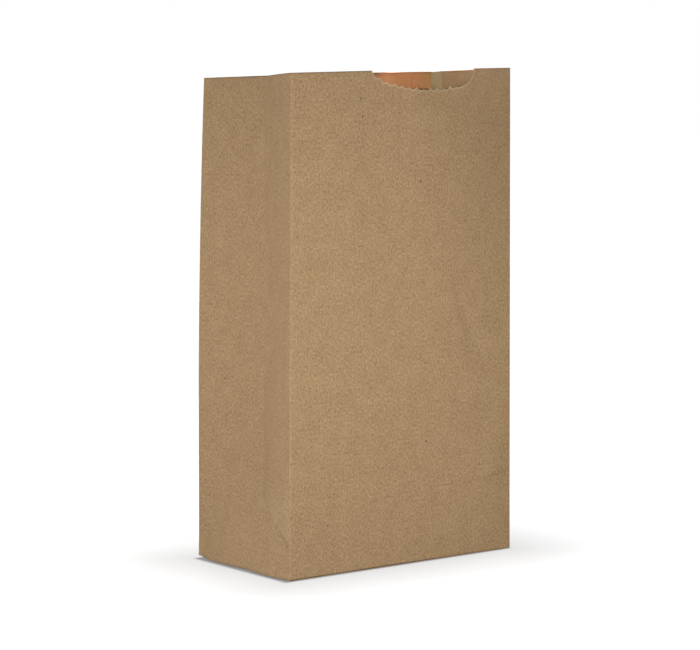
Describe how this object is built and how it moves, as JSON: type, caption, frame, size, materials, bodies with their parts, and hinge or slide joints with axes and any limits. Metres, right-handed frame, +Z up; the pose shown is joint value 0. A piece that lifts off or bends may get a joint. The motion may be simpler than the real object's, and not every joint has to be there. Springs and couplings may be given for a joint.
{
  "type": "paper lunch bag",
  "caption": "Open brown kraft paper lunch bag with tucked side gussets, a folded block bottom and a pinked thumb notch in its front panel.",
  "frame": {"origin": "centre of the flat bottom, on the surface the bag stands on", "axes": "+Z up through the mouth, -Y out of the front panel with the thumb notch, +X to the right along the front panel"},
  "size_m": [0.1278, 0.0844, 0.2186],
  "materials": {
    "kraft_paper": "matte unbleached kraft paper"
  },
  "bodies": {
    "root": {"lunch_bag": "kraft_paper"}
  },
  "joints": []
}
